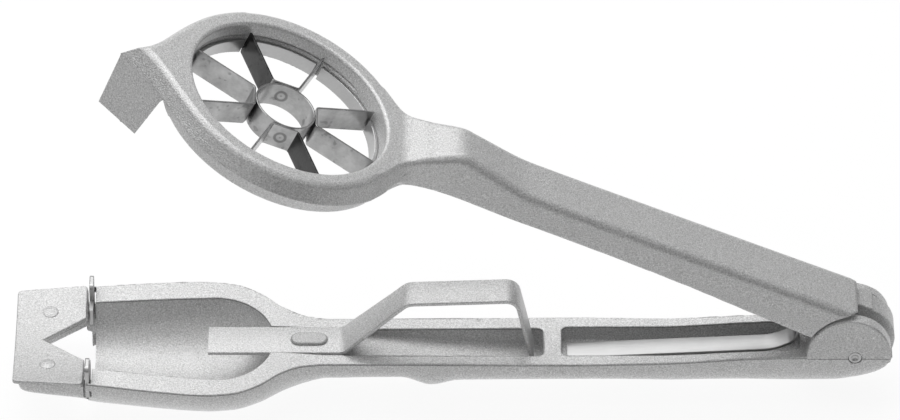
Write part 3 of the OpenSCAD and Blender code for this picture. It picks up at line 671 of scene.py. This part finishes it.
sizes = {"Thickness": strap_thickness / 1000, "Core width": 0.0005, "Edge radius": 0.0002}
strap_paint = silver_paint("strap_silver_paint", 0.6, False)
strap = strip("bow_strip", finely(middle_line, 1.5), strap_width, sizes, strap_paint)
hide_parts("bow_strap")
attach(strap, "lower_arm")
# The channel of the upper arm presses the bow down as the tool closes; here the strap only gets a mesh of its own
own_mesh(strap)

# Stud of the strap: an oblong pip that stands up through the strap and is pressed over it.
# It is painted with the arm, in a darker tone that paints in the shade on the pip.

STUD_AT, STUD_HALF, STUD_RADIUS = 128.5, 2.25, 2.15
STUD_TOP, STUD_FOOT = -0.85, -1.9


def stud_field(x, y, z):
    oblong = np.hypot(np.maximum(np.abs(-x - STUD_AT) - STUD_HALF, 0), y) - STUD_RADIUS
    return np.maximum(round_max(oblong, z - STUD_TOP, 0.62), STUD_FOOT - z)


stud = cast("strap_pip", stud_field, (-133.6, -2.8, -2.4), (-123.4, 2.8, -0.4), 0.16)
# A darker copy of the arm's paint: painted shade on the pip
stud.data.materials.append(silver_paint("stud_painted_shade_paint", 0.46, False))
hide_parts("strap_stud")
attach(stud, "lower_arm")

# Hairpin spring: a bright strip of spring steel. One leg lies in its slot in the grip, the other runs up the
# channel of the upper arm, and the bend between them opens the tool.
OPEN_DEGREES = 24.5
OPEN = math.radians(OPEN_DEGREES)


def on_upper_arm(a, h):
    """Where a place on the closed upper arm is when the tool stands open."""
    return a * math.cos(OPEN) - h * math.sin(OPEN), a * math.sin(OPEN) + h * math.cos(OPEN)


spring_width = 5.4
low_end, high_end = on_upper_arm(22, 7.5), on_upper_arm(46, 7.8)
spring_bends = [(67.5, -5.1, 0), (19, -2.4, 12), (13.3, 0.6, 4), (14.2, low_end[1] - 1.5, 5), (*high_end, 0)]
spring_path = bent(spring_bends, 12)
sizes = {"Thickness": 0.0007, "Core width": 0.0006, "Edge radius": 0.00015}
spring_steel = bare_steel("spring_steel", 0.4, 0.34, 0.3, (0.12, 1, 1))
spring = strip("hairpin_strip", finely(spring_path, 2), lambda q: spring_width, sizes, spring_steel)
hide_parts("leaf_spring")
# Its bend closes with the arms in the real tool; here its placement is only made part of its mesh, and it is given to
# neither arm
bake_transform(spring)

# Hinge pin: a plain steel pin, pressed flush into the ears and a little hollow at its ends.

PIN_PLAY, PIN_HALF = 0.05, 8.4
HOLLOW_AT, HOLLOW_RADIUS = 9.2, 1.25


def pin_field(x, y, z):
    shank = round_max(np.hypot(x, z) - PIN_RADIUS + PIN_PLAY, np.abs(y) - PIN_HALF, 0.2)
    hollow = np.hypot(np.hypot(x, z), np.abs(y) - HOLLOW_AT) - HOLLOW_RADIUS
    return round_max(shank, -hollow, 0.1)


pin = cast("hinge_rod", pin_field, (-1.9, -8.8, -1.9), (1.9, 8.8, 1.9), 0.16)
pin.data.materials.append(bare_steel("pin_steel", 0.42, 0.38))
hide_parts("hinge_pin")
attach(pin, "lower_arm")

# Upper arm: one aluminium casting with the wedge, the cutting ring, a channel-shaped handle and the knuckle.
# It is die cast and painted like the lower arm. The ring's outer wall leans in above its edge line, and the
# wedge grows out of it with a round hollow on each side. The neck rises over the strap's bow and widens to the ring.

handle_half = curve([[0, 7.4], [88.9, 7.0], [107, 6.25], [115.7, 7.6], [122, 10.2], [126, 14.2]])
handle_top = curve([
    [0, 10.9], [55.9, 11.5], [88.9, 12.1], [104.5, 15], [107.4, 15.5], [115.7, 12.9], [122, 10.9], [128, 10.9],
])
handle_foot = curve([
    [0, 0.2], [12, 0.7], [29, 1.8], [45, 2.9], [62, 3.6], [80, 4], [107, 4.2], [115.2, 4.5], [130, 4.6],
])
channel_half = curve([[0, 5.7], [88.9, 5.2], [115.3, 4.95]])
RING_AT, RING_RADIUS, BORE_RADIUS = 149.9, 30.6, 24.3
HIGH_LEAN, LOW_LEAN, EDGE_LINE = (0.855, 0.519), (0.948, 0.316), 6.95
WEDGE_APEX, WEDGE_ROOT, WEDGE_FOOT = 190.4, 165, -8.4
KNUCKLE_RADIUS, KNUCKLE_NEAR, KNUCKLE_FAR, EAR_CLEARANCE = 9.6, -1.3, 4.65, 11.76
HANDLE_END, HANDLE_LEAN = 130, 0.5
CHANNEL_END, ROOF_THICKNESS = 115.3, 1.7
RING_FOOT, FOOT_SLOPE, FOOT_RADIUS = 2.3, 0.6, 28.6


def upper_field(x, y, z):
    a, h = -x, z
    # The ring and the wedge in plan, their wall above the edge line, and the ring's wall below it
    radius = np.hypot(a - RING_AT, y)
    plan = round_min(radius - RING_RADIUS, np.maximum(notch_side(a, y, WEDGE_APEX), WEDGE_ROOT - a), 5.0)
    high_wall = round_max(HIGH_LEAN[0] * plan + HIGH_LEAN[1] * (h - EDGE_LINE), 6.7 - h, 0.15)
    low_wall = np.maximum(LOW_LEAN[0] * (radius - 30.0) - LOW_LEAN[1] * (h - 6.6), h - 6.8)
    # The handle, whose sides lean in, and the underside of handle and ring
    top, foot = handle_top(a), handle_foot(a)
    side = np.abs(y) - handle_half(a) - HANDLE_LEAN * (top - h) / (top - foot)
    body = round_min(np.minimum(high_wall, low_wall), np.maximum(side, a - HANDLE_END), 3.0)
    under = np.minimum(foot, RING_FOOT + FOOT_SLOPE * np.maximum(radius - FOOT_RADIUS, 0))
    body = round_max(body, under - h, 0.7)
    # The wedge below the edge line, hollowed where it leaves the ring
    flank = notch_side(a, y, WEDGE_APEX - 0.05 * (6.85 - h))
    ring_foot = np.maximum(low_wall, under - h)
    root = np.maximum(round_min(ring_foot, 180.4 - 0.097 * (h - WEDGE_FOOT) - a, 1.8), WEDGE_ROOT - a)
    body = np.minimum(body, np.maximum(np.maximum(root, flank), np.maximum(WEDGE_FOOT - h, h - 6.9)))
    # The top, which has a sharper edge round the ring, the bore and the channel
    body = round_max(body, h - top, 2.2 - 1.1 * np.clip((a - 112) / 14, 0, 1))
    body = round_max(body, BORE_RADIUS - radius, 0.9)
    roof = round_max(h - top + ROOF_THICKNESS, a - CHANNEL_END, 3.0)
    body = np.maximum(body, -round_max(np.abs(y) - channel_half(a), roof, 0.7))
    # The knuckle and its rib, with the ears kept clear, and the bore of the pin
    hinge = np.hypot(a, h)
    body = np.maximum(round_max(body, EAR_CLEARANCE - hinge, 0.35), -a)
    rib = np.maximum(np.maximum(a - 11, -a), np.maximum(h - 10, 0.963 * (a - 9.6) - 0.27 * h))
    knuckle = np.minimum(hinge - KNUCKLE_RADIUS, np.maximum(rib, -h))
    knuckle = round_max(knuckle, np.maximum(KNUCKLE_NEAR - y, y - KNUCKLE_FAR), 0.3)
    return np.maximum(np.minimum(body, knuckle), PIN_RADIUS - hinge)


upper_casting = cast(
    "upper_casting", upper_field, (-192, -31.6, -10.4), (10.4, 31.6, 16.6), 0.42, turn=OPEN_DEGREES, keep=0.55,
)
upper_casting.data.materials.append(silver_paint("upper_silver_paint", 0.56, False))
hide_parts("upper_handle")
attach(upper_casting, "upper_arm")

# Retaining ring: a bare steel liner pressed into the bore.
# It has a gap at the end of each of the eight blade legs, which stand in it.

LINER_OUTER, LINER_INNER, LINER_MIDDLE, LINER_HALF, LEG_GAP = 24.25, 23.42, 4.2, 1.8, 0.8


def liner_field(x, y, z):
    radius = np.hypot(x + RING_AT, y)
    angle = np.arctan2(y, x + RING_AT)
    eighth = math.pi / 4
    off = np.abs((angle % eighth) - eighth / 2) * radius
    wall = round_max(radius - LINER_OUTER, LINER_INNER - radius, 0.12)
    return np.maximum(round_max(wall, np.abs(z - LINER_MIDDLE) - LINER_HALF, 0.15), LEG_GAP - off)


liner = cast("bore_liner", liner_field, (-174.6, -24.7, 2), (-125.2, 24.7, 6.4), 0.2, turn=OPEN_DEGREES)
liner.data.materials.append(bare_steel("liner_steel", 0.46, 0.26, 0.3))
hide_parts("retaining_ring")
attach(liner, "upper_arm")

# Star of blades: four strips of stainless steel, each bent to a V and spot welded to the small core ring.
# Their lower edges are ground sharp. The strips are one shape, repeated round the ring's axis.


def blade_colour(name, tone, rough):
    """Rolled steel, brushed along the strip, with stains, a painted dark reflection on two legs and the rings left by
    the spot welds.
    """
    f = Finish(name)
    place = f.node("Mapping", Vector=f.place(), Scale=(1, 1, 5))
    fine = f.noise(900, 3.0, 0.6, place)
    cloud = f.noise(150, 4.0, 0.65)
    spots = f.noise(520, 1.0, 0.5).fade(0.7, 0.62)
    value = tone * (0.84 + fine * 0.2 + (cloud - 0.5) * 1.5) * (1 - spots * 0.3)
    # Legs marked by the attribute are darkened strongly: painted dark reflection
    value = value * (1 - 0.86 * f.node("Attribute", {"attribute_name": "painted_dark_reflection"}, "Fac"))
    weld_height = 5.1
    for y in (-8.2, 7.0):
        a, h = on_upper_arm(RING_AT, weld_height)
        spot = tuple((np.array([-a, y, h]) + PIN) / 1000)
        gap = f.node("VectorMath", {"operation": "DISTANCE"}, "Value", i0=f.place(), i1=spot) * 1000
        value = value * (1 - 0.5 * abs(gap - 1.25).fade(0.15, 0.5)) * (1 - 0.35 * gap.fade(0.15, 0.4))
    bump = f.node("Bump", Strength=0.12, Distance=0.0001, Height=fine)
    return f.out(f.node(
        "BsdfPrincipled", Base_Color=f.grey(value), Metallic=0.95, Roughness=rough + cloud * 0.12, Normal=bump,
    ))


blade_steel = blade_colour("rolled_blade_steel", 0.42, 0.24)
leg_end, bend_at, bend_radius = 23.95, 7.78, 0.9
plan_path = bent([
    (leg_end * math.cos(math.pi / 8), -leg_end * math.sin(math.pi / 8), 0),
    (bend_at, -bend_at * math.tan(math.pi / 8), bend_radius),
    (bend_at, bend_at * math.tan(math.pi / 8), bend_radius),
    (leg_end * math.cos(math.pi / 8), leg_end * math.sin(math.pi / 8), 0),
], 6)
section = [(-0.25, 2.8), (-0.06, 2.0), (0.06, 2.0), (0.25, 2.8), (0.25, 8.24), (0.19, 8.3), (-0.19, 8.3), (-0.25, 8.24)]
rows = []
for k, q in enumerate(plan_path):
    d = plan_path[min(k + 1, len(plan_path) - 1)] - plan_path[max(k - 1, 0)]
    side = np.array([-d[1], d[0]]) / np.linalg.norm(d)
    rows += [(*(q + side * s), h) for s, h in section]
n, m = len(section), len(plan_path)
faces = [
    (k * n + i, (k + 1) * n + i, (k + 1) * n + (i + 1) % n, k * n + (i + 1) % n)
    for k in range(m - 1) for i in range(n)
]
faces += [tuple(range(n)), tuple(range(m * n - 1, (m - 1) * n - 1, -1))]
faces = [face[::-1] for face in faces]
blade_mesh = bpy.data.meshes.new("blade_strip")
blade_mesh.from_pydata([tuple(np.array(r) / 1000) for r in rows], [], faces)
sizes = {"Strips": 4}
tree, given, end = new_tree("star_of_blades", sizes, blade_steel)
places = tree_node(tree, "GeometryNodeMeshLine", Count=given.outputs["Strips"])
places.inputs["Offset"].default_value = (0, 0, 0)
number = tree_node(tree, "GeometryNodeInputIndex")
turn = tree_maths(tree, "MULTIPLY", number.outputs[0], math.pi / 2)
face_out = tree_node(tree, "ShaderNodeCombineXYZ", Z=turn)
strips = tree_node(
    tree, "GeometryNodeInstanceOnPoints", Points=places.outputs[0], Instance=given.outputs["Geometry"],
    Rotation=face_out.outputs[0],
)
end(strips.outputs[0])
star = grow("blade_star", blade_mesh, tree, sizes)


def set_in_ring(piece):
    """Moves a piece made about the ring's axis to its place in the open arm."""
    mesh = piece.data
    corners = np.empty(len(mesh.vertices) * 3)
    mesh.vertices.foreach_get("co", corners)
    corners = corners.reshape(-1, 3) * 1000 + [-RING_AT, 0, 0]
    c, s = math.cos(OPEN), math.sin(OPEN)
    corners = corners @ np.array([[c, 0, s], [0, 1, 0], [-s, 0, c]]).T + PIN
    mesh.vertices.foreach_set("co", (corners / 1000).ravel())
    mesh.set_sharp_from_angle(angle=math.radians(32))
    mesh.update()


# Two legs, opposite each other, get a painted dark reflection: their colour is darkened where the dim room would show
# in them
painted_dark_reflection = star.data.attributes.new("painted_dark_reflection", "FLOAT", "POINT")
angles = np.array([math.atan2(v.co.y, -v.co.x) for v in star.data.vertices])
reach = np.array([math.hypot(v.co.x, v.co.y) * 1000 for v in star.data.vertices])
dark_reflection_at, dark_reflection_spread, dark_reflection_from = math.radians(67.5), 0.14, 8.7
off = np.abs((angles - dark_reflection_at + math.pi / 2) % math.pi - math.pi / 2)
has_dark_reflection = (off < dark_reflection_spread) & (reach > dark_reflection_from)
painted_dark_reflection.data.foreach_set("value", np.where(has_dark_reflection, 1.0, 0.0).astype(np.float32))
set_in_ring(star)
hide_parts("blade_front", "blade_far", "blade_rear", "blade_near")
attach(star, "upper_arm")

# Core ring: a short piece of thin steel tube at the centre of the star.
# It is one wall profile, turned about the ring's axis.

wall = [(7.02, 2.0), (7.47, 2.0), (7.475, 8.22), (7.4, 8.3), (7.1, 8.3), (7.025, 8.22)]
around = 96
rings = [
    (r * math.cos(t) / 1000, r * math.sin(t) / 1000, h / 1000)
    for t in np.arange(around) * 2 * math.pi / around for r, h in wall
]
n = len(wall)
faces = [
    (k * n + i, (k + 1) % around * n + i, (k + 1) % around * n + (i + 1) % n, k * n + (i + 1) % n)
    for k in range(around) for i in range(n)
]
core_mesh = bpy.data.meshes.new("core_tube")
core_mesh.from_pydata(rings, [], faces)
core_mesh.materials.append(blade_steel)
core_mesh.polygons.foreach_set("use_smooth", np.ones(len(faces), bool))
core = show("core_tube", core_mesh)
set_in_ring(core)
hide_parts("core_ring")
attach(core, "upper_arm")

# Camera, lamps and floor: the tool lies on a pale floor under a large soft lamp, slightly behind and left of it.
# A small lamp beside the camera gives the curved walls their sheen.

camera = bpy.data.objects.new("camera", bpy.data.cameras.new("camera"))
bpy.context.scene.collection.objects.link(camera)
bpy.context.scene.camera = camera
camera.data.sensor_fit = "HORIZONTAL"
camera.data.sensor_width = 36
camera.data.lens = 300
camera.data.clip_start, camera.data.clip_end = 0.1, 20
camera.location = (-0.0011, -1.3369, 1.1747)
camera.rotation_euler = (Vector((-0.0011, 0, 0.05289)) - camera.location).to_track_quat("-Z", "Y").to_euler()
bpy.context.scene.view_settings.view_transform = "Standard"

# The room is dim in front and low down, and lighter overhead and behind
world = bpy.data.worlds.new("studio")
bpy.context.scene.world = world
sky = Finish("studio", world)
way = sky.node("TexCoord", output="Generated")
side = sky.node("SeparateXYZ", output="X", Vector=way)
back = sky.node("SeparateXYZ", output="Y", Vector=way)
height = sky.node("SeparateXYZ", output="Z", Vector=way)
strength = 0.08 + back.fade(0.6, -0.4) * 0.14 + side.fade(-0.9, 0.2) * 0.08 + height.fade(0.95, 0.3) * 0.5
sky.out(sky.node("Background", Color=(1, 1, 1, 1), Strength=strength))


def soft_lamp(name, size, power, place):
    """A rectangular lamp that is aimed at the tool."""
    lamp = show(name, bpy.data.lights.new(name, "AREA"))
    lamp.data.shape = "RECTANGLE"
    lamp.data.size, lamp.data.size_y = size
    lamp.data.energy = power
    lamp.location = place
    lamp.rotation_euler = (lamp.location - Vector((-0.02, 0, 0))).to_track_quat("Z", "Y").to_euler()


soft_lamp("soft_box", (0.8, 0.75), 3.9, (-0.14, 0.24, 0.58))
soft_lamp("camera_lamp", (0.16, 0.16), 0.6, (-0.3, -1.15, 0.86))

floor_mesh = bpy.data.meshes.new("floor")
half_floor, under_tool = 3, -0.0004
floor_mesh.from_pydata(
    [(x * half_floor, y * half_floor, under_tool) for x, y in ((-1, -1), (1, -1), (1, 1), (-1, 1))], [],
    [(0, 1, 2, 3)],
)
floor = show("floor", floor_mesh)
# Seen directly or in a polished face the floor is near white and keeps the soft shadow. As a source of light it is
# brightest straight below, so that walls that lean down are lighter than upright ones.
f = Finish("pale_floor")
seen = f.node("LightPath", output="Is Camera Ray")
glossy = f.node("LightPath", output="Is Glossy Ray")
through = f.node("LightPath", output="Is Transmission Ray")
steep = 1 - f.node("LayerWeight", output="Facing")
matt = f.node("BsdfDiffuse", Color=(0.95, 0.95, 0.95, 1))
shown = f.node("MixShader", Fac=0.9, i1=matt, i2=f.node("Emission", Strength=1.0))
glow = f.node("Emission", Strength=steep * steep * 2.6)
direct = seen.math("MAXIMUM", glossy).math("MAXIMUM", through)
floor.data.materials.append(f.out(f.node("MixShader", Fac=direct, i1=glow, i2=shown)))
